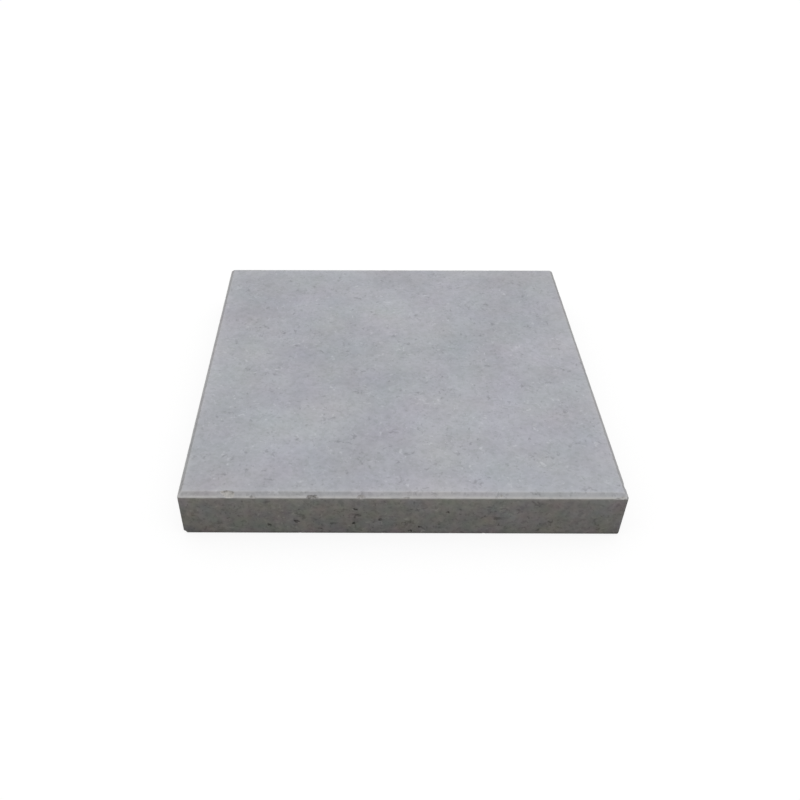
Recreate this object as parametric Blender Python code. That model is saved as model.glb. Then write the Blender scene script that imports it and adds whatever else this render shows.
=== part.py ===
"""A leatherworker's granite slab: one square block of light grey stone.

The slab lies flat, +Z up, with its origin at the middle of its underside and its front towards -Y.
Its faces are sawn and the top is honed flat. The four upright corners are rubbed a little round, a
45 degree arris runs along the top edges and is mitred at the corners, and a lighter one takes the
sharpness off the underside. All sizes are in metres.
"""

import math

import bmesh
import bpy
from mathutils import Matrix, Vector

# Driving dimensions. Each is set by itself, and everything below follows from them.
SLAB_WIDTH = 0.3048  # side to side, along X: 12 inches
SLAB_DEPTH = 0.3048  # front to back, along Y: 12 inches
SLAB_THICKNESS = 0.0381  # underside to work face, along Z: 1 1/2 inches
TOP_ARRIS = 0.003175  # the arris' run in from the upright faces and its drop from the work face: 1/8 inch
BASE_ARRIS = 0.001  # the same for the lighter arris round the underside
UPRIGHT_CORNER_RADIUS = 0.0015875  # plan radius of the four upright corners: 1/16 inch
ARRIS_EASING = 0.0005  # how far the rubbing rounds over the borders and the mitres of the top arris

CORNER_SEGMENTS = 4  # flats in a quarter turn of an upright corner
EASING_SEGMENTS = 3  # flats across each eased border of an arris
SMOOTH_UP_TO = math.radians(30)  # faces that meet at less than this are shaded as one curve
SAME_LEVEL = 1e-6  # a point closer than this to a level or to a cut lies on it
SAME_SLOPE = 0.01  # two normals whose Z parts are closer than this are one slope

# The finish of the stone, honed and not polished. The colour is linear.
STONE_COLOUR = (0.36, 0.37, 0.40, 1.0)
STONE_ROUGHNESS = 0.62
STONE_IOR = 1.54


def clear_scene():
    """Take every object out of the scene."""
    for obj in list(bpy.data.objects):
        bpy.data.objects.remove(obj, do_unlink=True)


def at_level(edge, height):
    """Say whether both ends of an edge lie at a height."""
    return all(abs(vert.co.z - height) < SAME_LEVEL for vert in edge.verts)


def is_upright(edge):
    """Say whether an edge runs straight up."""
    start, end = (vert.co for vert in edge.verts)
    return (start.xy - end.xy).length < SAME_LEVEL


def bevel_edges(bm, edges, offset, segments):
    """Bevel some edges of a bmesh, with a round profile where there is more than one segment."""
    bmesh.ops.bevel(
        bm,
        geom=edges,
        offset=offset,
        offset_type="OFFSET",
        segments=segments,
        profile=0.5,
        affect="EDGES",
        clamp_overlap=False,
        material=-1,
    )


def rim_at(bm, height):
    """The edges of the level outline at a height."""
    return [edge for edge in bm.edges if at_level(edge, height)]


def cut_top_arris(bm):
    """Take the four top edges off at 45 degrees. The cuts meet in a mitre at each corner."""
    for axis, size in enumerate((SLAB_WIDTH, SLAB_DEPTH)):
        for sign in (-1, 1):
            border = Vector((0.0, 0.0, SLAB_THICKNESS - TOP_ARRIS))
            border[axis] = sign * size / 2
            outward = Vector((0.0, 0.0, 1.0))
            outward[axis] = sign
            bmesh.ops.bisect_plane(
                bm,
                geom=[*bm.verts, *bm.edges, *bm.faces],
                dist=SAME_LEVEL,
                plane_co=border,
                plane_no=outward,
                clear_outer=True,
            )
            bmesh.ops.holes_fill(bm, edges=[edge for edge in bm.edges if edge.is_boundary], sides=0)


def is_arris(face):
    """Say whether a face slopes at 45 degrees, as the top arris does."""
    return abs(face.normal.z - math.sqrt(0.5)) < SAME_SLOPE


def arris_edges(bm):
    """The edges of the top arris: its upper and lower borders, and its mitres."""
    bm.normal_update()
    return [edge for edge in bm.edges if any(is_arris(face) for face in edge.link_faces)]


def build_slab_mesh():
    """The slab's solid: a block whose corners, work face and underside are eased in that order."""
    bm = bmesh.new()
    block = Matrix.Diagonal((SLAB_WIDTH, SLAB_DEPTH, SLAB_THICKNESS, 1.0))
    lift = Matrix.Translation((0.0, 0.0, SLAB_THICKNESS / 2))
    bmesh.ops.create_cube(bm, size=1.0, matrix=lift @ block)
    bevel_edges(bm, [edge for edge in bm.edges if is_upright(edge)], UPRIGHT_CORNER_RADIUS, CORNER_SEGMENTS)
    cut_top_arris(bm)
    bevel_edges(bm, arris_edges(bm), ARRIS_EASING, EASING_SEGMENTS)
    bevel_edges(bm, rim_at(bm, 0.0), BASE_ARRIS, EASING_SEGMENTS)
    bmesh.ops.recalc_face_normals(bm, faces=bm.faces)

    mesh = bpy.data.meshes.new("granite_slab")
    bm.to_mesh(mesh)
    bm.free()
    mesh.shade_smooth()
    mesh.set_sharp_from_angle(angle=SMOOTH_UP_TO)
    return mesh


def honed_granite():
    """The stone's finish, as one plain colour."""
    material = bpy.data.materials.new("honed_grey_granite")
    material.use_nodes = True
    shader = material.node_tree.nodes["Principled BSDF"]
    shader.inputs["Base Color"].default_value = STONE_COLOUR
    shader.inputs["Roughness"].default_value = STONE_ROUGHNESS
    shader.inputs["Metallic"].default_value = 0.0
    shader.inputs["IOR"].default_value = STONE_IOR
    return material


def main():
    """Build the slab as one named object."""
    clear_scene()
    mesh = build_slab_mesh()
    mesh.materials.append(honed_granite())
    slab = bpy.data.objects.new("granite_slab", mesh)
    bpy.context.scene.collection.objects.link(slab)


main()
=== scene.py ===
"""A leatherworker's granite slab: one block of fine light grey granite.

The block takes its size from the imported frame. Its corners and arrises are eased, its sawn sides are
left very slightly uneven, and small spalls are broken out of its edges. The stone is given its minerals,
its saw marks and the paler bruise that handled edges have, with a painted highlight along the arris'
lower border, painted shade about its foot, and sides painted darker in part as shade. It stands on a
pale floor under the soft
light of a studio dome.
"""

from __future__ import annotations

import logging
import math
import random
from collections.abc import Iterable, Mapping, Sequence
from dataclasses import dataclass, replace
from enum import Enum, IntEnum

import bmesh
import bpy
from mathutils import Euler, Matrix, Vector, noise
from mathutils.kdtree import KDTree

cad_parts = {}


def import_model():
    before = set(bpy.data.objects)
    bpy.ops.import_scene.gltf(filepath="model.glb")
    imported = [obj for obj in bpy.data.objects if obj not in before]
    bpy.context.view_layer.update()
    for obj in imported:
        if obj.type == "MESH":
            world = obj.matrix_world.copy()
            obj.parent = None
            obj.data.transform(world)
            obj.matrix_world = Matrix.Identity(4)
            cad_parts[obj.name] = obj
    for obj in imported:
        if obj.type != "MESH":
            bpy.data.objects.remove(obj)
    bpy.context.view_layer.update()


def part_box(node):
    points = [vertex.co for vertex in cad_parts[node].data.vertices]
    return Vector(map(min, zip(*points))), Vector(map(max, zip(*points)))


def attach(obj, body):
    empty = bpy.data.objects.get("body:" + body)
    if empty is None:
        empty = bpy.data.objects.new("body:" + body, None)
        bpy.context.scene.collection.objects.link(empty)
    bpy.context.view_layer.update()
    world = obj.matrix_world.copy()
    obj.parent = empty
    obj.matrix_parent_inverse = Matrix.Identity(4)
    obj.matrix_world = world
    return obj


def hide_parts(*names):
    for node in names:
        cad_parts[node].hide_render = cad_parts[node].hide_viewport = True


LOG = logging.getLogger("granite_slab")

MM = 0.001  # one millimetre, in metres
SAME_PLACE = 1e-6  # two places closer than this are one, in metres
SAME_SLOPE = 0.01  # two normals whose Z parts are closer than this are one slope
LEVEL = 0.9999  # a normal whose Z part is greater than this stands straight up
UP = Vector((0, 0, 1))
NODE = "granite_slab"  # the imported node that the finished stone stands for
BODY = "root"
STONE = "granite_slab_stone"
WEAR_AND_PAINTED_LIGHT = "wear"  # on each vertex: from -1, dirt and painted shade, through 0 to 1, crushed pale and painted highlight
MINERAL_STEP = 0.37  # how far apart in the noise two minerals are read, in metres
CROWDING = 0.35  # how much a crowded stretch swells its flecks

Colour = tuple[float, float, float, float]
NodeValue = bpy.types.NodeSocket | float | Sequence[float]
Layers = tuple[tuple[float, float], ...]  # layers of noise: each one's size in metres and its strength
Span = tuple[float, float]  # where a stretch of values starts and ends


def linear(hex_colour: str) -> Colour:
    """Turn an sRGB hex colour to the opaque linear one that shaders take.

    Args:
        hex_colour: Six hex digits after a hash.

    Returns:
        Linear red, green and blue, and full opacity.
    """
    digits = hex_colour.lstrip("#")
    channels = [int(digits[start : start + 2], 16) / 255 for start in (0, 2, 4)]
    red, green, blue = (c / 12.92 if c <= 0.04045 else ((c + 0.055) / 1.055) ** 2.4 for c in channels)
    return red, green, blue, 1.0


def add_node(
    tree: bpy.types.NodeTree,
    kind: str,
    inputs: Mapping[int | str, NodeValue] | None = None,
    stops: Sequence[tuple[float, Colour]] = (),
    **settings: object,
) -> bpy.types.Node:
    """Add a node with its settings, its input values and its links.

    Args:
        tree: The tree that the node goes into.
        kind: The node's type name.
        inputs: For each input, by name or number, the socket that feeds it or its own value.
        stops: A colour ramp's places and colours, if the node is one.
        **settings: The node's own properties.

    Returns:
        The new node.
    """
    made = tree.nodes.new(kind)
    for name, value in settings.items():
        setattr(made, name, value)
    for key, value in (inputs or {}).items():
        if isinstance(value, bpy.types.NodeSocket):
            tree.links.new(value, made.inputs[key])
        else:
            made.inputs[key].default_value = value
    if stops:
        ramp = made.color_ramp.elements
        while len(ramp) < len(stops):
            ramp.new(1.0)
        for element, (place, colour) in zip(ramp, stops, strict=True):
            element.position = place
            element.color = colour
    return made


def reckon(tree: bpy.types.NodeTree, operation: str, *values: NodeValue) -> bpy.types.NodeSocket:
    """Add a math node.

    Args:
        tree: The tree that the node goes into.
        operation: What the node does with its values.
        *values: The sockets or numbers that it takes, in order.

    Returns:
        The socket that holds the result.
    """
    return add_node(tree, "ShaderNodeMath", dict(enumerate(values)), operation=operation).outputs[0]


def rough(place: Vector, layers: Layers) -> float:
    """Add up layers of noise at a place."""
    return sum(strength * noise.noise(place / size) for size, strength in layers)


def side_way(axis: int) -> Vector:
    """Make the unit vector along X, for axis 0, or along Y, for axis 1."""
    return Vector((1 - axis, axis, 0))


class Dressing(IntEnum):
    """How a stretch of the stone was worked. The value is its material slot on the mesh."""

    HONED = 0
    RUBBED = 1
    SAWN = 2
    BROKEN = 3


@dataclass(frozen=True)
class Fleck:
    """A mineral that shows as scattered, ragged flecks.

    Attributes:
        colour: The mineral's own colour.
        size: How far apart the flecks' places are, in metres; a fleck is about half as wide.
        level: How rare the flecks are: about 0.7 for a third of the places, 0.85 for very few.
        strength: How fully the middle of a fleck covers the grains round it, from 0 to 1.
        soft: How softly a fleck ends: 0.04 is crisp, 0.15 is a smudge.
        gather: How far apart the flecks gather into groups, in metres.
        depth: How deep the fleck is plucked, as a share of the finish's relief.
    """

    colour: str
    size: float
    level: float
    strength: float
    soft: float = 0.08
    gather: float = 14 * MM
    depth: float = 0.0


@dataclass(frozen=True)
class Granite:
    """Fine grey granite: grains of feldspar and quartz, mica flecks and a few bright cleavages, whose glint
    on the dressed faces is painted into their pale colour.

    The minerals lie in the block itself, so every face cuts through the same grains. Only how the
    surface was worked changes from one finish to the next.

    Attributes:
        name: The material's name.
        quartz: Colour of the darkest, glassy grains.
        plagioclase: Colour of the middling grains.
        feldspar: Colour of the palest grains.
        crushed: Colour of crushed crystals, also painted as the highlight along the arris' lower border.
        dirt: Colour of the dirt that pits hold, also painted as shade about the stone's foot.
        flecks: The scattered minerals.
        roughness: Middle roughness; each grain strays a little from it.
        relief: Depth of the surface's own roughness, in metres.
        grit: Size of the marks that the last tool left, in metres.
        saw_relief: Depth of the blade's arcs, in metres.
        mottle: How much the tone strays every few grains, as a share.
        cloud: How much the tone drifts across the stone, as a share.
        drift: How much each colour channel drifts by itself, as a share.
        drift_size: How far apart the drifts of colour are, in metres.
        painted_foot_shade: How much darker the stone is painted at its foot than at its top, as a share:
            painted shade.
        foot_height: How high up the stone that shade runs, in metres.
        grain: How wide a grain is, in metres.
        ragged: How far the grains' borders wander, in metres.
        shares: Up to where the quartz and then the plagioclase run, as shares of all the grains.
        sheen: How far a grain's roughness strays from the middle one.
        ior: Index of refraction of quartz and feldspar.
    """

    name: str
    quartz: str
    plagioclase: str
    feldspar: str
    crushed: str
    flecks: tuple[Fleck, ...]
    roughness: float
    relief: float
    grit: float = 0.6 * MM
    saw_relief: float = 0.0
    mottle: float = 0.13
    cloud: float = 0.21
    drift: float = 0.05
    drift_size: float = 40 * MM
    painted_foot_shade: float = 0.0
    foot_height: float = 36 * MM
    grain: float = 2.0 * MM
    ragged: float = 0.5 * MM
    shares: Span = (0.3, 0.75)
    sheen: float = 0.07
    dirt: str = "#2F2E2B"
    ior: float = 1.54

    def material(self) -> bpy.types.Material:
        """Make the finish's material.

        Returns:
            A material that reads the piece's Object coordinates and its wear, with its painted highlight
            and shade.
        """
        made = bpy.data.materials.new(self.name)
        made.use_nodes = True
        tree = made.node_tree
        tree.nodes.clear()
        place = add_node(tree, "ShaderNodeTexCoord").outputs["Object"]
        bent = self.bend(tree, place)
        grains = add_node(tree, "ShaderNodeTexVoronoi", {"Vector": bent, "Scale": 1 / self.grain})
        draw = add_node(tree, "ShaderNodeSeparateColor", {0: grains.outputs["Color"]}).outputs
        minerals = add_node(
            tree,
            "ShaderNodeValToRGB",
            {0: draw[0]},
            stops=[
                (0.0, linear(self.quartz)),
                (self.shares[0], linear(self.plagioclase)),
                (self.shares[1], linear(self.feldspar)),
                (1.0, linear(self.feldspar)),
            ],
        ).outputs["Color"]
        colour = add_node(
            tree, "ShaderNodeVectorMath", {0: minerals, 1: self.tone(tree, place)}, operation="MULTIPLY"
        ).outputs[0]

        pits: bpy.types.NodeSocket | float = 0.0
        for number, fleck in enumerate(self.flecks):
            cover = self.scatter(tree, place, fleck, number)
            shade = reckon(tree, "MULTIPLY", cover, fleck.strength)
            colour = add_node(
                tree, "ShaderNodeMix", {0: shade, 6: colour, 7: linear(fleck.colour)}, data_type="RGBA"
            ).outputs[2]
            pits = reckon(tree, "MULTIPLY_ADD", cover, -fleck.depth, pits)

        # the wear paints crushed pale stone and a painted highlight above 0, and dirt and painted shade
        # below 0
        wear = add_node(tree, "ShaderNodeAttribute", attribute_name=WEAR_AND_PAINTED_LIGHT).outputs["Fac"]
        dirt = reckon(tree, "MULTIPLY", wear, -1.0)
        for amount, cover in ((wear, self.crushed), (dirt, self.dirt)):
            colour = add_node(
                tree, "ShaderNodeMix", {0: amount, 6: colour, 7: linear(cover)}, data_type="RGBA"
            ).outputs[2]
        gloss = add_node(
            tree,
            "ShaderNodeMapRange",
            {0: draw[1], 1: 0.0, 2: 1.0, 3: self.roughness - self.sheen, 4: self.roughness + self.sheen},
        ).outputs[0]
        shader = add_node(
            tree,
            "ShaderNodeBsdfPrincipled",
            {
                "Base Color": colour,
                "Roughness": gloss,
                "Normal": self.relief_normal(tree, place, pits),
                "IOR": self.ior,
                "Metallic": 0.0,
            },
        )
        add_node(tree, "ShaderNodeOutputMaterial", {"Surface": shader.outputs[0]})
        return made

    def bend(self, tree: bpy.types.NodeTree, place: bpy.types.NodeSocket) -> bpy.types.NodeSocket:
        """Push the coordinates about, so that the grains lock into each other with ragged borders.

        Args:
            tree: The material's node tree.
            place: The piece's Object coordinates.

        Returns:
            The bent coordinates.
        """
        wander_size = 1.1 * MM
        wander = add_node(
            tree, "ShaderNodeTexNoise", {"Vector": place, "Scale": 1 / wander_size, "Detail": 1.0}
        ).outputs["Color"]
        return add_node(
            tree,
            "ShaderNodeVectorMath",
            {0: wander, 1: (2 * self.ragged,) * 3, 2: place},
            operation="MULTIPLY_ADD",
        ).outputs[0]

    def tone(self, tree: bpy.types.NodeTree, place: bpy.types.NodeSocket) -> bpy.types.NodeSocket:
        """Work out how the stone's tone and tint stray: every few grains, and across the block.

        Args:
            tree: The material's node tree.
            place: The piece's Object coordinates.

        Returns:
            A factor for each colour channel, about 1.
        """
        factor: bpy.types.NodeSocket | float = 1.0
        layers: Layers = ((1 * MM, 0.03), (3 * MM, 0.04), (7 * MM, self.mottle), (60 * MM, self.cloud))
        for size, amount in layers:
            strays = add_node(
                tree, "ShaderNodeTexNoise", {"Vector": place, "Scale": 1 / size, "Detail": 2.0}
            ).outputs["Fac"]
            centred = reckon(tree, "SUBTRACT", strays, 0.5)
            factor = reckon(tree, "MULTIPLY_ADD", centred, amount * 2, factor)
        # painted shade: the stone is painted darker towards its foot
        if self.painted_foot_shade:
            height = add_node(tree, "ShaderNodeSeparateXYZ", {0: place}).outputs[2]
            foot = add_node(
                tree,
                "ShaderNodeMapRange",
                {0: height, 1: 0.0, 2: self.foot_height, 3: 1 - self.painted_foot_shade, 4: 1.0},
            ).outputs[0]
            factor = reckon(tree, "MULTIPLY", factor, foot)
        tints = add_node(
            tree, "ShaderNodeTexNoise", {"Vector": place, "Scale": 1 / self.drift_size, "Detail": 2.0}
        ).outputs["Color"]
        tint = add_node(
            tree,
            "ShaderNodeVectorMath",
            {0: tints, 1: (2 * self.drift,) * 3, 2: (1 - self.drift,) * 3},
            operation="MULTIPLY_ADD",
        ).outputs[0]
        return add_node(
            tree, "ShaderNodeVectorMath", {0: tint, "Scale": factor}, operation="SCALE"
        ).outputs[0]

    def scatter(
        self, tree: bpy.types.NodeTree, place: bpy.types.NodeSocket, fleck: Fleck, number: int
    ) -> bpy.types.NodeSocket:
        """Scatter one mineral's flecks through the stone, in loose groups.

        Args:
            tree: The material's node tree.
            place: The piece's Object coordinates.
            fleck: The mineral.
            number: The mineral's number, which keeps its places apart from the others'.

        Returns:
            1 in the middle of a fleck and 0 outside, with a slope between.
        """
        apart = add_node(
            tree, "ShaderNodeVectorMath", {0: place, 1: (MINERAL_STEP * (number + 1),) * 3}, operation="ADD"
        ).outputs[0]
        swell = add_node(
            tree,
            "ShaderNodeTexNoise",
            {"Vector": apart, "Scale": 1 / fleck.size, "Detail": 2.0, "Roughness": 0.55, "Distortion": 0.5},
        ).outputs["Fac"]
        crowd = add_node(
            tree, "ShaderNodeTexNoise", {"Vector": apart, "Scale": 1 / fleck.gather, "Detail": 1.0}
        ).outputs["Fac"]
        raised = reckon(tree, "MULTIPLY_ADD", crowd, CROWDING, swell)
        return add_node(
            tree,
            "ShaderNodeMapRange",
            {0: raised, 1: fleck.level, 2: fleck.level + fleck.soft, 3: 0.0, 4: 1.0},
            interpolation_type="SMOOTHSTEP",
        ).outputs[0]

    def relief_normal(
        self,
        tree: bpy.types.NodeTree,
        place: bpy.types.NodeSocket,
        pits: bpy.types.NodeSocket | float,
    ) -> bpy.types.NodeSocket:
        """Roughen the surface: what the grit left, the plucked flecks, and the blade's arcs.

        Args:
            tree: The material's node tree.
            place: The piece's Object coordinates.
            pits: Height of the plucked flecks, 0 or less.

        Returns:
            The surface's normal.
        """
        grit = add_node(
            tree, "ShaderNodeTexNoise", {"Vector": place, "Scale": 1 / self.grit, "Detail": 2.0}
        ).outputs["Fac"]
        height = reckon(tree, "ADD", grit, pits)
        normal = add_node(tree, "ShaderNodeBump", {"Height": height, "Distance": self.relief}).outputs[0]
        if self.saw_relief:
            arcs = self.saw_marks(tree, place)
            normal = add_node(
                tree, "ShaderNodeBump", {"Height": arcs, "Distance": self.saw_relief, "Normal": normal}
            ).outputs[0]
        return normal

    def saw_marks(self, tree: bpy.types.NodeTree, place: bpy.types.NodeSocket) -> bpy.types.NodeSocket:
        """Draw the arcs that a large diamond blade leaves on a sawn side.

        Args:
            tree: The material's node tree.
            place: The piece's Object coordinates.

        Returns:
            The height of the marks, from 0 to 1.
        """
        blade = 0.30  # the blade's radius
        axle = -0.19  # its axle's height: below the block
        stroke = 2.2 * MM  # how far apart the arcs are
        xyz = add_node(tree, "ShaderNodeSeparateXYZ", {0: place}).outputs
        along = reckon(tree, "ADD", xyz[0], xyz[1])
        rise = reckon(tree, "SUBTRACT", xyz[2], axle)
        square = reckon(tree, "MULTIPLY", rise, rise)
        left = reckon(tree, "SUBTRACT", blade**2, square)
        bow = reckon(tree, "SQRT", left)
        arc = reckon(tree, "SUBTRACT", along, bow)
        return add_node(
            tree,
            "ShaderNodeTexNoise",
            {"W": arc, "Scale": 1 / stroke, "Detail": 2.0},
            noise_dimensions="1D",
        ).outputs["Fac"]


# What the ground and the rubbed stone show: smudges of mica, its fine specks, and pale cleavages, partly
# pale grains and partly a painted glint.
DRESSED_FLECKS = (
    Fleck("#55565B", size=3.9 * MM, level=0.79, strength=0.34, soft=0.15, depth=0.5),
    Fleck("#55565B", size=1.9 * MM, level=0.82, strength=0.2, depth=0.3),
    # pale cleavage flecks: their brightness is partly a painted glint
    Fleck("#D9DCE0", size=3.4 * MM, level=0.80, strength=0.3, soft=0.18),
)

FINISHES: dict[Dressing, Granite] = {
    # Ground flat with fine grit and left unpolished: an even, pale grey with a dull sheen.
    Dressing.HONED: Granite(
        name="honed_granite",
        quartz="#9EA1A6",
        plagioclase="#A2A4AB",
        feldspar="#A6A8AF",
        crushed="#C2C3C4",
        flecks=DRESSED_FLECKS,
        roughness=0.62,
        relief=0.012 * MM,
    ),
    # Rubbed by hand along the edges: the same grey, paler and a little rougher.
    Dressing.RUBBED: Granite(
        name="rubbed_granite",
        quartz="#A2A3A6",
        plagioclase="#AAABAE",
        feldspar="#AEAFB2",
        crushed="#CDCDCC",
        flecks=DRESSED_FLECKS,
        roughness=0.7,
        relief=0.02 * MM,
    ),
    # Straight from the saw: warmer, and darker than the top partly as painted shade of the sides, the
    # minerals standing out more, with faint blade arcs.
    Dressing.SAWN: Granite(
        name="sawn_granite",
        quartz="#91908E",
        plagioclase="#9C9B99",
        feldspar="#A3A2A0",
        crushed="#BEBDB9",
        flecks=(
            Fleck("#3A3937", size=6.2 * MM, level=0.77, strength=0.52, soft=0.2, depth=1.0),
            Fleck("#454441", size=2.4 * MM, level=0.80, strength=0.4, soft=0.12, depth=0.5),
            Fleck("#C2C1BC", size=3.4 * MM, level=0.79, strength=0.5, soft=0.18),
        ),
        roughness=0.74,
        relief=0.03 * MM,
        grit=1.0 * MM,
        saw_relief=0.045 * MM,
        mottle=0.2,
        cloud=0.11,
        drift=0.15,
        drift_size=14 * MM,
        # painted shade: the sides darker towards their foot
        painted_foot_shade=0.2,
    ),
    # Fresh breaks at the spalls: crushed crystals, paler and quite matt.
    Dressing.BROKEN: Granite(
        name="broken_granite",
        quartz="#A5A4A2",
        plagioclase="#B0AFAD",
        feldspar="#BAB9B7",
        crushed="#C6C5C2",
        flecks=(
            Fleck("#3A3937", size=3.6 * MM, level=0.78, strength=0.4, soft=0.12, depth=1.0),
            Fleck("#454441", size=1.8 * MM, level=0.80, strength=0.35, depth=0.5),
        ),
        roughness=0.85,
        relief=0.06 * MM,
        grit=0.9 * MM,
    ),
}


class Line(Enum):
    """The edges round the block that a knock can flake."""

    ARRIS = "lower border of the top arris"
    BASE = "edge round the underside"


@dataclass(frozen=True)
class Hollow:
    """A flake or a grain broken out of the stone, which leaves a hollow like the inside of a shell.

    Attributes:
        spot: Where the surface was before it broke.
        outward: The direction that the flake left in.
        depth: How deep the hollow is.
        bow: Radius of the hollow's curve.
        along: The direction that the hollow is longest in.
        stretch: How much longer it is along than across.
        wear: What the break leaves: above 0 pale crushed stone, below 0 dirt.
        broken: Whether the whole hollow is a fresh break.
        fray: How far the hollow's outline wanders, as a share of its radius.
        hackle: How unevenly deep it is, as a share of its depth.
    """

    spot: Vector
    outward: Vector
    depth: float
    bow: float
    along: Vector
    stretch: float = 1.0
    wear: float = 0.35
    broken: bool = True
    fray: float = 0.5
    hackle: float = 0.4

    @property
    def radius(self) -> float:
        """Half of the hollow's width, across its long direction."""
        return math.sqrt(2 * self.bow * self.depth)

    @property
    def reach(self) -> float:
        """How far from its spot the hollow may run."""
        return (self.radius * (1 + self.fray) + self.depth) * self.stretch

    def carve(self, place: Vector) -> Vector | None:
        """Push a point of the surface back onto the hollow.

        Args:
            place: The point before the break.

        Returns:
            Its place on the hollow, or None where the break didn't reach it.
        """
        wide, narrow = 2.4 * MM, 1.1 * MM  # sizes of the tears in the outline
        ragged = noise.noise_vector(place / wide) + 0.5 * noise.noise_vector(place / narrow)
        sideways = ragged - self.outward * ragged.dot(self.outward)
        centre = self.spot + self.outward * (self.bow - self.depth)
        offset = place + sideways * self.radius * self.fray - centre
        run = offset.dot(self.along)
        squeezed = offset - self.along * (run - run / self.stretch)
        if squeezed.length >= self.bow:
            return None
        bite = self.bow - squeezed.length
        return place - self.outward * bite * (1 + self.hackle * ragged.x)


@dataclass(frozen=True)
class Fade:
    """Something that is strongest along a line and fades away from it.

    Attributes:
        strength: How strong it is on the line.
        reach: How far from the line it has fallen to about a third.
    """

    strength: float
    reach: float

    def at(self, distance: float) -> float:
        """How strong it is at a distance, where it falls off at once."""
        return self.strength * math.exp(-distance / self.reach)

    def round_at(self, distance: float) -> float:
        """How strong it is at a distance, where it holds up near the line and then falls off."""
        return self.strength * math.exp(-((distance / self.reach) ** 2))


@dataclass(frozen=True)
class WearAndPaintedLight:
    """What use leaves on the stone: edges crushed pale, with a painted highlight along the arris' lower
    border, and painted shade about its foot.

    Attributes:
        face: Crushing of the work face, inwards from the arris.
        lip: Crushing of the arris and a painted highlight, upwards from its lower border.
        mitre: Crushing of the arris, to both sides of its mitres.
        side: Crushing of the sides and a painted highlight, downwards from the arris.
        haze: The same crushing and painted light, fainter and wider.
        even: The share of the crushing and painted light that is there without its patches.
        patches: The patches that the crushing comes in.
        foot: Painted shade on the sides, upwards from the underside.
        corner: More darkening, upwards from the foot of each corner.
        corner_width: How far from a corner its darkening runs along a side.
        darkening_patches: The patches that the painted shade and the corners' darkening come in.
    """

    face: Fade = Fade(0.25, 4 * MM)
    lip: Fade = Fade(1.0, 0.9 * MM)
    mitre: Fade = Fade(0.35, 1.2 * MM)
    side: Fade = Fade(1.0, 0.5 * MM)
    haze: Fade = Fade(0.2, 4 * MM)
    even: float = 0.9
    patches: Layers = ((9 * MM, 0.5), (3 * MM, 0.4))
    foot: Fade = Fade(0.42, 1.8 * MM)
    corner: Fade = Fade(0.2, 16 * MM)
    corner_width: float = 22 * MM
    darkening_patches: Layers = ((5 * MM, 0.6),)

    def crushing_and_highlight(self, rise: float, insets: Sequence[float], arris: float) -> float:
        """Say how crushed the stone is, with the painted highlight along the arris' lower border, patches
        aside.

        Args:
            rise: Height above the arris' lower border.
            insets: How far in from the nearer sides the place is, along X and along Y.
            arris: The arris' run and drop.

        Returns:
            0 for sound stone, about 1 for stone crushed pale and for the brightest painted highlight.
        """
        if rise > arris - SAME_PLACE:
            return self.face.at(min(insets) - arris)
        if rise > 0:
            # painted highlight: the lip here and the side below paint a pale line along the arris' lower
            # border, along with its crushing
            return self.lip.round_at(rise) + self.mitre.round_at(insets[0] - insets[1])
        # painted light: the side's pale line and the haze's fainter band down the top of the sides
        return self.side.at(-rise) + self.haze.at(-rise)

    def dirt(self, height: float, insets: Sequence[float]) -> float:
        """Say how much painted shade darkens the stone about its foot, more so near the corners, patches
        aside.

        Args:
            height: Height above the underside.
            insets: How far in from the nearer sides the place is, along X and along Y.

        Returns:
            0 where nothing darkens it, 1 where it is darkest.
        """
        # painted shade along the foot, and more darkening near the corners
        nearness = max(0.0, 1 - max(insets) / self.corner_width)
        return self.foot.at(height) + self.corner.at(height) * nearness


@dataclass(frozen=True)
class Damage:
    """What the hollows of one kind are drawn from.

    Attributes:
        depth: How deep they are.
        bow: Radius of their curve.
        spread: How much of a side's length they are strewn over, as a share.
        stretch: How much longer they are along than across.
    """

    depth: Span
    bow: Span
    spread: float
    stretch: Span = (1.0, 1.8)


FLAKES = Damage(depth=(0.3 * MM, 0.8 * MM), bow=(2.5 * MM, 5.5 * MM), spread=0.94)
PITS = Damage(depth=(0.25 * MM, 0.5 * MM), bow=(1.2 * MM, 2.2 * MM), spread=0.95)


@dataclass(frozen=True)
class Chips:
    """How a knock breaks up into small chips that overlap, which makes its outline ragged.

    Attributes:
        count: How many chips there are; the first lies in the middle and the others along the edge.
        size: How big the others are, as a share of the first.
        depth: How deep a chip is, as a share of the knock.
        lift: How far up or down a chip strays.
        tilt: How far its way out strays, along each axis.
        stretch: How much longer it is along than across.
        wear: What it leaves, from dirt to crushed stone.
    """

    count: int = 4
    size: Span = (0.4, 0.8)
    depth: Span = (0.6, 0.9)
    lift: float = 0.5 * MM
    tilt: tuple[float, float, float] = (0.4, 0.4, 0.3)
    stretch: Span = (1.0, 1.8)
    wear: Span = (-0.3, 0.45)

    def of(self, knock: Hollow, draw: random.Random) -> list[Hollow]:
        """Break a knock up.

        Args:
            knock: The knock as one hollow.
            draw: Where the choices come from.

        Returns:
            The chips.
        """
        chips = []
        for number in range(self.count):
            share = 1.0 if number == 0 else draw.uniform(*self.size)
            stray = 0.0 if number == 0 else draw.uniform(-1.0, 1.0) * knock.reach
            lift = draw.uniform(-self.lift, self.lift)
            tilt = Vector([draw.uniform(-most, most) for most in self.tilt])
            chips.append(
                replace(
                    knock,
                    spot=knock.spot + knock.along * stray + UP * lift,
                    outward=(knock.outward + tilt).normalized(),
                    depth=knock.depth * share * draw.uniform(*self.depth),
                    bow=knock.bow * share,
                    stretch=draw.uniform(*self.stretch),
                    wear=draw.uniform(*self.wear),
                )
            )
        return chips


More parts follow.
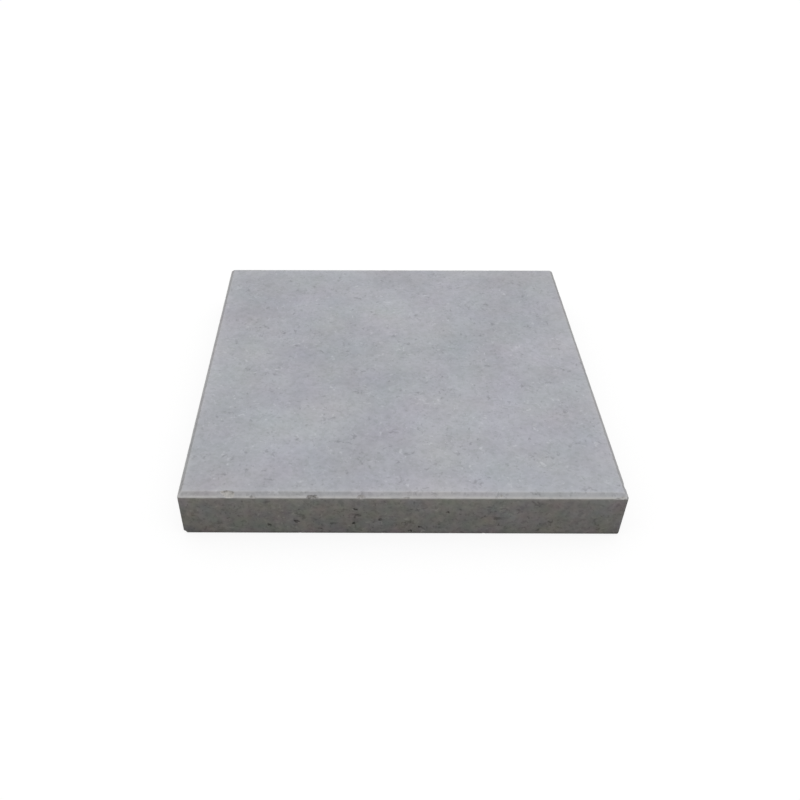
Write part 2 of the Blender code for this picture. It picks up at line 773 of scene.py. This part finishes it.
def graded(low: float, high: float, fine: float, coarse: float, reach: float) -> list[float]:
    """Space cuts finely near both ends of a stretch and coarsely between.

    Args:
        low: Where the stretch starts.
        high: Where it ends.
        fine: Spacing within reach of an end.
        coarse: Spacing elsewhere.
        reach: How far the fine spacing runs in from each end.

    Returns:
        The places of the cuts, from low to high, without the two ends.
    """
    fine_steps = [fine * step for step in range(1, int(reach / fine) + 1)]
    ends = [low + step for step in fine_steps] + [high - step for step in fine_steps]
    inner_low = low + fine_steps[-1]
    span = high - fine_steps[-1] - inner_low
    count = max(1, round(span / coarse))
    return sorted(ends + [inner_low + span * step / count for step in range(1, count)])


def bevel(bm: bmesh.types.BMesh, edges: Iterable[bmesh.types.BMEdge], offset: float, segments: int) -> None:
    """Bevel some edges, with a round profile where there is more than one segment.

    Args:
        bm: The mesh.
        edges: The edges to bevel.
        offset: How far the bevel runs in along each face.
        segments: How many facets cross it.
    """
    bmesh.ops.bevel(
        bm,
        geom=list(edges),
        offset=offset,
        offset_type="OFFSET",
        segments=segments,
        profile=0.5,
        affect="EDGES",
        clamp_overlap=False,
        material=-1,
    )


def rim_at(bm: bmesh.types.BMesh, height: float) -> list[bmesh.types.BMEdge]:
    """Find the edges of the level outline at a height."""
    return [edge for edge in bm.edges if all(abs(v.co.z - height) < SAME_PLACE for v in edge.verts)]


def cut(
    bm: bmesh.types.BMesh,
    faces: Iterable[bmesh.types.BMFace],
    spot: Vector,
    across: Vector,
    keep_outer: bool = True,
) -> None:
    """Cut some faces along a plane.

    Args:
        bm: The mesh.
        faces: The faces to cut.
        spot: A point of the plane.
        across: The plane's normal.
        keep_outer: Whether what lies on the normal's side of the plane stays.
    """
    chosen = list(faces)
    edges = {edge for face in chosen for edge in face.edges}
    verts = {vert for face in chosen for vert in face.verts}
    bmesh.ops.bisect_plane(
        bm,
        geom=[*verts, *edges, *chosen],
        dist=SAME_PLACE,
        plane_co=spot,
        plane_no=across,
        clear_outer=not keep_outer,
    )


def vertex_tree(bm: bmesh.types.BMesh) -> KDTree:
    """Sort a mesh's vertices by place, so that those near a spot are found quickly."""
    bm.verts.ensure_lookup_table()
    tree = KDTree(len(bm.verts))
    for vert in bm.verts:
        tree.insert(vert.co, vert.index)
    tree.balance()
    return tree


@dataclass
class GraniteSlab:
    """The block of stone, from its sawn faces to its last flake.

    Attributes:
        low: Lowest corner of the block.
        high: Highest corner of the block.
    """

    low: Vector
    high: Vector
    top_arris: float = 3.175 * MM  # the top arris' run in from the sides and its drop: 1/8 inch
    base_arris: float = 1.0 * MM  # the same for the lighter arris round the underside
    upright_radius: float = 1.5875 * MM  # plan radius of the upright corners: 1/16 inch
    easing: float = 0.5 * MM  # how far the arris' borders and mitres are rubbed round
    corner_segments: int = 4  # facets round an upright corner
    easing_segments: int = 3  # facets across each rubbed border
    arris_rows: int = 4  # facets across the arris
    fine: float = 0.9 * MM  # facets along and near the edges
    coarse: float = 1.3 * MM  # facets up the middle of a side
    sheet: float = 12.0 * MM  # facets on the flat work face and underside
    margin: float = 8.5 * MM  # how far in from the sides the fine facets run
    sliver: float = 0.02 * MM  # a facet narrower than this is a cut's near miss and is closed up
    saw_wave: float = 0.05 * MM  # how far a sawn side strays from flat
    saw_wave_size: float = 26 * MM  # how far apart its waves are
    rub_wave: float = 0.14 * MM  # how far an arris strays from straight
    rub_waves: Layers = ((5 * MM, 1.0), (1.9 * MM, 0.5))  # the dips that the rubbing left along it
    rub_reach: float = 1.5 * MM  # how far below the arris the rubbing ran
    crumbs: Layers = ((1.3 * MM, 0.5),)  # how the wear strays in a fresh hollow
    smooth_up_to: float = math.radians(38)  # facets that meet at less than this are shaded as one
    flakes_per_side: int = 5
    pits_per_side: int = 12
    # Knocks along the front arris, in millimetres: place from the middle, height above the arris'
    # lower border, depth and curve.
    front_knocks: tuple[tuple[float, float, float, float], ...] = (
        (-119.0, 1.9, 0.7, 6.0),
        (-100.0, 0.0, 0.4, 2.5),
        (-62.0, 0.8, 0.5, 4.5),
        (3.0, 0.0, 0.5, 2.5),
        (66.0, 0.4, 0.5, 4.0),
        (145.0, 0.0, 0.6, 3.0),
    )
    wear_and_painted_light: WearAndPaintedLight = WearAndPaintedLight()
    chips: Chips = Chips()
    seed: int = 12

    @property
    def centre(self) -> Vector:
        """The middle of the block."""
        return (self.low + self.high) / 2

    @property
    def half(self) -> Vector:
        """Half of the block's size."""
        return (self.high - self.low) / 2

    @property
    def border(self) -> float:
        """Height of the arris' lower border."""
        return self.high.z - self.top_arris

    def build(self) -> bpy.types.Object:
        """Model the stone.

        Returns:
            The stone as one closed mesh, with a material slot number for each dressing.
        """
        noise.seed_set(self.seed)  # unseeded, the vector noise that frays the hollows follows the clock
        bm = bmesh.new()
        scale = Matrix.Diagonal((*(self.high - self.low), 1.0))
        bmesh.ops.create_cube(bm, size=1.0, matrix=Matrix.Translation(self.centre) @ scale)
        self.ease_edges(bm)
        self.cut_sides(bm)
        self.cut_rims(bm)
        self.cut_flats(bm)
        bmesh.ops.remove_doubles(bm, verts=bm.verts, dist=self.sliver)
        self.mark_dressings(bm)
        # the wear layer also holds the painted highlight and the painted shade
        wear = bm.verts.layers.float.new(WEAR_AND_PAINTED_LIGHT)
        self.wear_and_paint_light(bm, wear)
        self.unsettle(bm)
        self.break_out(bm, wear, self.hollows())
        bmesh.ops.recalc_face_normals(bm, faces=bm.faces)
        mesh = bpy.data.meshes.new(STONE)
        bm.to_mesh(mesh)
        bm.free()
        mesh.shade_smooth()
        mesh.set_sharp_from_angle(angle=self.smooth_up_to)
        stone = bpy.data.objects.new(STONE, mesh)
        bpy.context.scene.collection.objects.link(stone)
        return stone

    def dress(self, stone: bpy.types.Object) -> None:
        """Give each stretch of the stone the finish of how it was worked.

        Args:
            stone: The stone that build made.
        """
        for dressing in Dressing:
            stone.data.materials.append(FINISHES[dressing].material())

    def ease_edges(self, bm: bmesh.types.BMesh) -> None:
        """Round the upright corners, then rub the arrises round the work face and the underside."""
        upright = [e for e in bm.edges if (e.verts[0].co.xy - e.verts[1].co.xy).length < SAME_PLACE]
        bevel(bm, upright, self.upright_radius, self.corner_segments)
        self.cut_arris(bm)
        bm.normal_update()
        slopes = [face for face in bm.faces if abs(face.normal.z - math.sqrt(0.5)) < SAME_SLOPE]
        creases = [edge for edge in bm.edges if any(face in slopes for face in edge.link_faces)]
        bevel(bm, creases, self.easing, self.easing_segments)
        bevel(bm, rim_at(bm, self.low.z), self.base_arris, self.easing_segments)

    def cut_arris(self, bm: bmesh.types.BMesh) -> None:
        """Take the four top edges off at 45 degrees, so that the cuts meet in a mitre at each corner."""
        for axis in (0, 1):
            across = side_way(axis)
            for sign in (-1, 1):
                spot = self.centre + across * sign * self.half[axis]
                spot.z = self.border
                cut(bm, bm.faces, spot, across * sign + UP, keep_outer=False)
                bmesh.ops.holes_fill(bm, edges=[e for e in bm.edges if e.is_boundary], sides=0)

    def cut_sides(self, bm: bmesh.types.BMesh) -> None:
        """Cut level rows of facets round the sides and the arris."""
        heights = graded(
            self.low.z + self.base_arris, self.border - self.easing, self.fine, self.coarse, 4 * MM
        )
        arris_low = self.border + self.easing
        step = (self.top_arris - 2 * self.easing) / self.arris_rows
        heights += [arris_low + step * row for row in range(1, self.arris_rows)]
        for height in heights:
            cut(bm, bm.faces, UP * height, UP)

    def insets(self) -> list[float]:
        """Say how far in from the sides the fine cuts run, from the upright corners inwards."""
        steps = int((self.margin - self.upright_radius) / self.fine)
        return [self.upright_radius + self.fine * step for step in range(steps + 1)]

    def cut_rims(self, bm: bmesh.types.BMesh) -> None:
        """Cut upright rows of facets near the four sides."""
        for axis in (0, 1):
            across = side_way(axis)
            for sign in (-1, 1):
                for inset in self.insets():
                    cut(bm, bm.faces, self.centre + across * sign * (self.half[axis] - inset), across)

    def cut_flats(self, bm: bmesh.types.BMesh) -> None:
        """Cut the long facets between the rims short, and the two flat middles into a few sheets."""
        inner = [self.half[axis] - self.insets()[-1] for axis in (0, 1)]
        bmesh.ops.delete(bm, geom=self.sheets(bm, inner), context="FACES_ONLY")
        for axis in (0, 1):
            runs = [
                e
                for e in bm.edges
                if abs(e.calc_length() - 2 * inner[axis]) < MM
                and abs((e.verts[0].co - e.verts[1].co)[axis]) > inner[axis]
            ]
            cuts = round(2 * inner[axis] / self.fine) - 1
            bmesh.ops.subdivide_edges(bm, edges=runs, cuts=cuts, use_grid_fill=False)
        bmesh.ops.holes_fill(bm, edges=[e for e in bm.edges if e.is_boundary], sides=0)
        for axis in (0, 1):
            across = side_way(axis)
            count = round(2 * inner[axis] / self.sheet)
            for step in range(1, count):
                spot = self.centre + across * inner[axis] * (2 * step / count - 1)
                cut(bm, self.sheets(bm, inner), spot, across)

    def sheets(self, bm: bmesh.types.BMesh, inner: Sequence[float]) -> list[bmesh.types.BMFace]:
        """Find the faces of the two flat middles.

        Args:
            bm: The mesh.
            inner: Half of the middles' size, along X and Y.

        Returns:
            The level faces whose centres lie inside that size.
        """
        found = []
        for face in bm.faces:
            offset = face.calc_center_median() - self.centre
            if abs(face.normal.z) > LEVEL and all(abs(offset[axis]) < inner[axis] for axis in (0, 1)):
                found.append(face)
        return found

    def mark_dressings(self, bm: bmesh.types.BMesh) -> None:
        """Note on each face how it was worked, as its material slot."""
        for face in bm.faces:
            height = face.calc_center_median().z
            if height > self.high.z - SAME_PLACE:
                face.material_index = Dressing.HONED
            elif height > self.border - self.easing:
                face.material_index = Dressing.RUBBED
            else:
                face.material_index = Dressing.SAWN

    def wear_and_paint_light(self, bm: bmesh.types.BMesh, wear: bmesh.types.BMLayerItem) -> None:
        """Pale the stone where handling crushes it, along the arris and the rims, with a painted highlight
        along the arris' lower border, and paint shade about its foot.

        Args:
            bm: The mesh.
            wear: The layer that holds each vertex's wear, painted highlight and painted shade.
        """
        marks = self.wear_and_painted_light
        for vert in bm.verts:
            insets = [self.half[axis] - abs(vert.co[axis] - self.centre[axis]) for axis in (0, 1)]
            crushed = marks.crushing_and_highlight(vert.co.z - self.border, insets, self.top_arris)
            crushed *= marks.even + rough(vert.co, marks.patches)
            # painted shade about the foot, and more darkening near the corners
            dirt = marks.dirt(vert.co.z - self.low.z, insets) * (1 + rough(vert.co, marks.darkening_patches))
            vert[wear] = min(1.0, max(0.0, crushed)) - dirt

    def unsettle(self, bm: bmesh.types.BMesh) -> None:
        """Let the sides stray from flat and the arrises from straight, always inwards."""
        bm.normal_update()
        for vert, normal in [(v, v.normal.copy()) for v in bm.verts if abs(v.normal.z) < LEVEL]:
            inward = (1 - noise.noise(vert.co / self.saw_wave_size)) * self.saw_wave / 2
            if vert.co.z > self.border - self.rub_reach:
                inward += max(0.0, rough(vert.co, self.rub_waves)) * self.rub_wave
            vert.co -= normal * inward

    def hollows(self) -> list[Hollow]:
        """Choose what broke out of the stone, the same way each time.

        Returns:
            The flakes along the edges, the pits in the sides and the two blunted front corners.
        """
        draw = random.Random(self.seed)
        found = []
        for axis in (0, 1):
            along = side_way(axis)
            for sign in (-1, 1):
                outward = side_way(1 - axis) * sign
                middle = self.centre + outward * self.half[1 - axis]
                for _ in range(self.flakes_per_side):
                    found += self.chips.of(self.flake(draw, middle, outward, along), draw)
                found += [self.pit(draw, middle, outward, along) for _ in range(self.pits_per_side)]
        for place, rise, depth, bow in self.front_knocks:
            spot = Vector((place * MM, self.low.y + rise * MM, self.border + rise * MM))
            outward = Vector((0.1, -1, 0.8)).normalized()
            knock = Hollow(spot, outward, depth * MM, bow * MM, along=side_way(0), stretch=1.3)
            found += self.chips.of(knock, draw)
        tuck = self.upright_radius * (1 - math.sqrt(0.5))  # from the box's corner in to the round one
        foot = Vector((self.low.x + tuck, self.low.y + tuck, self.low.z))
        down = Vector((-1, -1, -0.9)).normalized()
        found.append(Hollow(foot, down, depth=2.0 * MM, bow=8 * MM, along=UP))
        tip = Vector((self.high.x - tuck, self.low.y + tuck, self.border))
        aside = Vector((1, -1, 0.5)).normalized()
        found.append(Hollow(tip, aside, depth=0.6 * MM, bow=5 * MM, along=UP))
        return found

    def flake(self, draw: random.Random, middle: Vector, outward: Vector, along: Vector) -> Hollow:
        """Knock a flake out of one of a side's two long edges.

        Args:
            draw: Where the choices come from.
            middle: The middle of the side.
            outward: The side's normal.
            along: The side's long direction.

        Returns:
            The hollow that the flake leaves.
        """
        line = draw.choice(list(Line))
        spot = middle + along * draw.uniform(-FLAKES.spread, FLAKES.spread) * self.half.dot(along)
        spot.z = self.border if line is Line.ARRIS else self.low.z
        tilt = draw.uniform(0.2, 0.7) * (1 if line is Line.ARRIS else -1)
        return Hollow(
            spot,
            (outward + UP * tilt).normalized(),
            depth=draw.uniform(*FLAKES.depth),
            bow=draw.uniform(*FLAKES.bow),
            along=along,
            stretch=draw.uniform(*FLAKES.stretch),
        )

    def pit(self, draw: random.Random, middle: Vector, outward: Vector, along: Vector) -> Hollow:
        """Pluck a grain out of a side, mostly out of its lower half, and leave dirt in the pit.

        Args:
            draw: Where the choices come from.
            middle: The middle of the side.
            outward: The side's normal.
            along: The side's long direction.

        Returns:
            The pit.
        """
        spot = middle + along * draw.uniform(-PITS.spread, PITS.spread) * self.half.dot(along)
        spot.z = self.low.z + draw.uniform(0.1, 0.85) ** 1.3 * (self.border - self.low.z)
        return Hollow(
            spot,
            outward,
            depth=draw.uniform(*PITS.depth),
            bow=draw.uniform(*PITS.bow),
            along=(along + UP * draw.uniform(-0.8, 0.8)).normalized(),
            stretch=draw.uniform(*PITS.stretch),
            wear=-draw.uniform(0.35, 0.8),
            broken=False,
        )

    def break_out(
        self, bm: bmesh.types.BMesh, wear: bmesh.types.BMLayerItem, hollows: Sequence[Hollow]
    ) -> None:
        """Cut the facets finer round each hollow, then push them back onto it.

        Args:
            bm: The mesh.
            wear: The layer that holds each vertex's wear.
            hollows: What broke out of the stone.
        """
        tree = vertex_tree(bm)
        near = {bm.verts[i] for h in hollows for _, i, _ in tree.find_range(h.spot, h.reach)}
        short = 2 * self.coarse
        inner = [e for e in bm.edges if all(v in near for v in e.verts) and e.calc_length() < short]
        bmesh.ops.subdivide_edges(bm, edges=inner, cuts=1, use_grid_fill=True)
        tree = vertex_tree(bm)
        broken = set()
        for hollow in hollows:
            for _, index, _ in tree.find_range(hollow.spot, hollow.reach):
                vert = bm.verts[index]
                carved = hollow.carve(vert.co)
                if carved is None:
                    continue
                vert.co = carved
                vert[wear] = hollow.wear + rough(carved, self.crumbs)
                if hollow.broken:
                    broken.add(vert)
        for face in {face for vert in broken for face in vert.link_faces}:
            if all(vert in broken for vert in face.verts):
                face.material_index = Dressing.BROKEN


@dataclass(frozen=True)
class Studio:
    """A pale floor under a soft dome of light, brightest overhead.

    Attributes:
        floor_size: Side of the square floor, in metres.
        floor_colour: The floor's own colour.
        gap: How far the floor lies under the stone, in metres.
        shadow: Share of the floor's light that the stone can take away.
        glow: How bright the floor looks where nothing shades it.
        dome: Radiance of the dome straight overhead.
        zenith: Tint of the light from overhead.
        horizon: Tint of the light from near the horizon.
        falloff: How quickly the dome darkens towards the horizon, as a power of the height.
        backdrop: What the camera sees past the floor.
    """

    floor_size: float = 12.0
    floor_colour: str = "#FFFFFF"
    gap: float = 0.1 * MM
    shadow: float = 0.2
    glow: float = 1.02
    dome: float = 1.28
    zenith: str = "#FAFCFF"
    horizon: str = "#FFF8EE"
    falloff: float = 0.5
    backdrop: str = "#FFFFFF"

    def build(self) -> None:
        """Lay the floor and light the dome."""
        self.floor()
        self.light()

    def floor(self) -> None:
        """Lay the floor just under the stone."""
        bm = bmesh.new()
        bmesh.ops.create_grid(bm, x_segments=2, y_segments=2, size=self.floor_size / 2)
        bmesh.ops.translate(bm, vec=UP * -self.gap, verts=bm.verts)
        mesh = bpy.data.meshes.new("studio_floor")
        bm.to_mesh(mesh)
        bm.free()
        floor = bpy.data.objects.new("studio_floor", mesh)
        bpy.context.scene.collection.objects.link(floor)
        paper = bpy.data.materials.new("matt_paper_floor")
        paper.use_nodes = True
        paper.node_tree.nodes.clear()
        colour = linear(self.floor_colour)
        shader = add_node(
            paper.node_tree,
            "ShaderNodeBsdfPrincipled",
            {
                "Base Color": [channel * self.shadow for channel in colour[:3]] + [1.0],
                "Roughness": 0.9,
                "Specular IOR Level": 0.0,
                "Emission Color": colour,
                "Emission Strength": self.glow - self.shadow,
            },
        )
        add_node(paper.node_tree, "ShaderNodeOutputMaterial", {"Surface": shader.outputs[0]})
        mesh.materials.append(paper)
        floor.visible_diffuse = False
        floor.visible_glossy = False

    def light(self) -> None:
        """Light the scene with a dome that is brightest overhead and dark below the horizon."""
        world = bpy.data.worlds.new("studio_dome")
        bpy.context.scene.world = world
        world.use_nodes = True
        tree = world.node_tree
        tree.nodes.clear()
        way = add_node(tree, "ShaderNodeTexCoord").outputs["Generated"]
        height = add_node(tree, "ShaderNodeSeparateXYZ", {0: way}).outputs[2]
        above = reckon(tree, "MAXIMUM", height, 0.0)
        bright = reckon(tree, "POWER", above, self.falloff)
        tint = add_node(
            tree,
            "ShaderNodeMix",
            {0: above, 6: linear(self.horizon), 7: linear(self.zenith)},
            data_type="RGBA",
        ).outputs[2]
        power = reckon(tree, "MULTIPLY", bright, self.dome)
        dome = add_node(tree, "ShaderNodeBackground", {"Color": tint, "Strength": power})
        wall = add_node(tree, "ShaderNodeBackground", {"Color": linear(self.backdrop), "Strength": 1.0})
        seen = add_node(tree, "ShaderNodeLightPath").outputs["Is Camera Ray"]
        both = add_node(tree, "ShaderNodeMixShader", {0: seen, 1: dome.outputs[0], 2: wall.outputs[0]})
        add_node(tree, "ShaderNodeOutputWorld", {"Surface": both.outputs[0]})


@dataclass(frozen=True)
class Camera:
    """A camera in front of the slab, looking down on it.

    Attributes:
        place: Where the lens is, in metres, from the middle of the slab's underside.
        down: How far it looks down from level, in degrees.
        turn: How far it turns to the left, in degrees.
        lens: Focal length, in millimetres.
        sensor: Width of the sensor, in millimetres.
        shift: How far the lens is shifted across and up, as shares of the sensor.
        nearest: How near a thing may come and still be seen, in metres.
    """

    place: tuple[float, float, float] = (-0.0267, -0.5436, 0.4264)
    down: float = 41.256
    turn: float = 0.248
    lens: float = 36.922
    sensor: float = 36.0
    shift: tuple[float, float] = (0.0493, 0.0554)
    nearest: float = 0.01

    def build(self) -> None:
        """Set the camera up and make it the scene's."""
        data = bpy.data.cameras.new("studio_camera")
        data.sensor_width = self.sensor
        data.lens = self.lens
        data.shift_x, data.shift_y = self.shift
        data.clip_start = self.nearest
        camera = bpy.data.objects.new("studio_camera", data)
        camera.location = self.place
        camera.rotation_euler = Euler((math.radians(90 - self.down), 0.0, math.radians(self.turn)))
        bpy.context.scene.collection.objects.link(camera)
        bpy.context.scene.camera = camera


def main() -> None:
    """Build the camera, the studio and the stone, and report the stone."""
    logging.basicConfig(level=logging.INFO, format="%(name)s: %(message)s")
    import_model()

    bpy.context.scene.view_settings.view_transform = "Standard"
    Camera().build()
    Studio().build()

    low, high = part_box(NODE)
    slab = GraniteSlab(low=Vector(low), high=Vector(high))
    stone = slab.build()
    slab.dress(stone)
    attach(stone, BODY)
    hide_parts(NODE)
    triangles = sum(len(face.vertices) - 2 for face in stone.data.polygons)
    LOG.info("%s: %d triangles, %d hollows", stone.name, triangles, len(slab.hollows()))


if __name__ == "__main__":
    main()
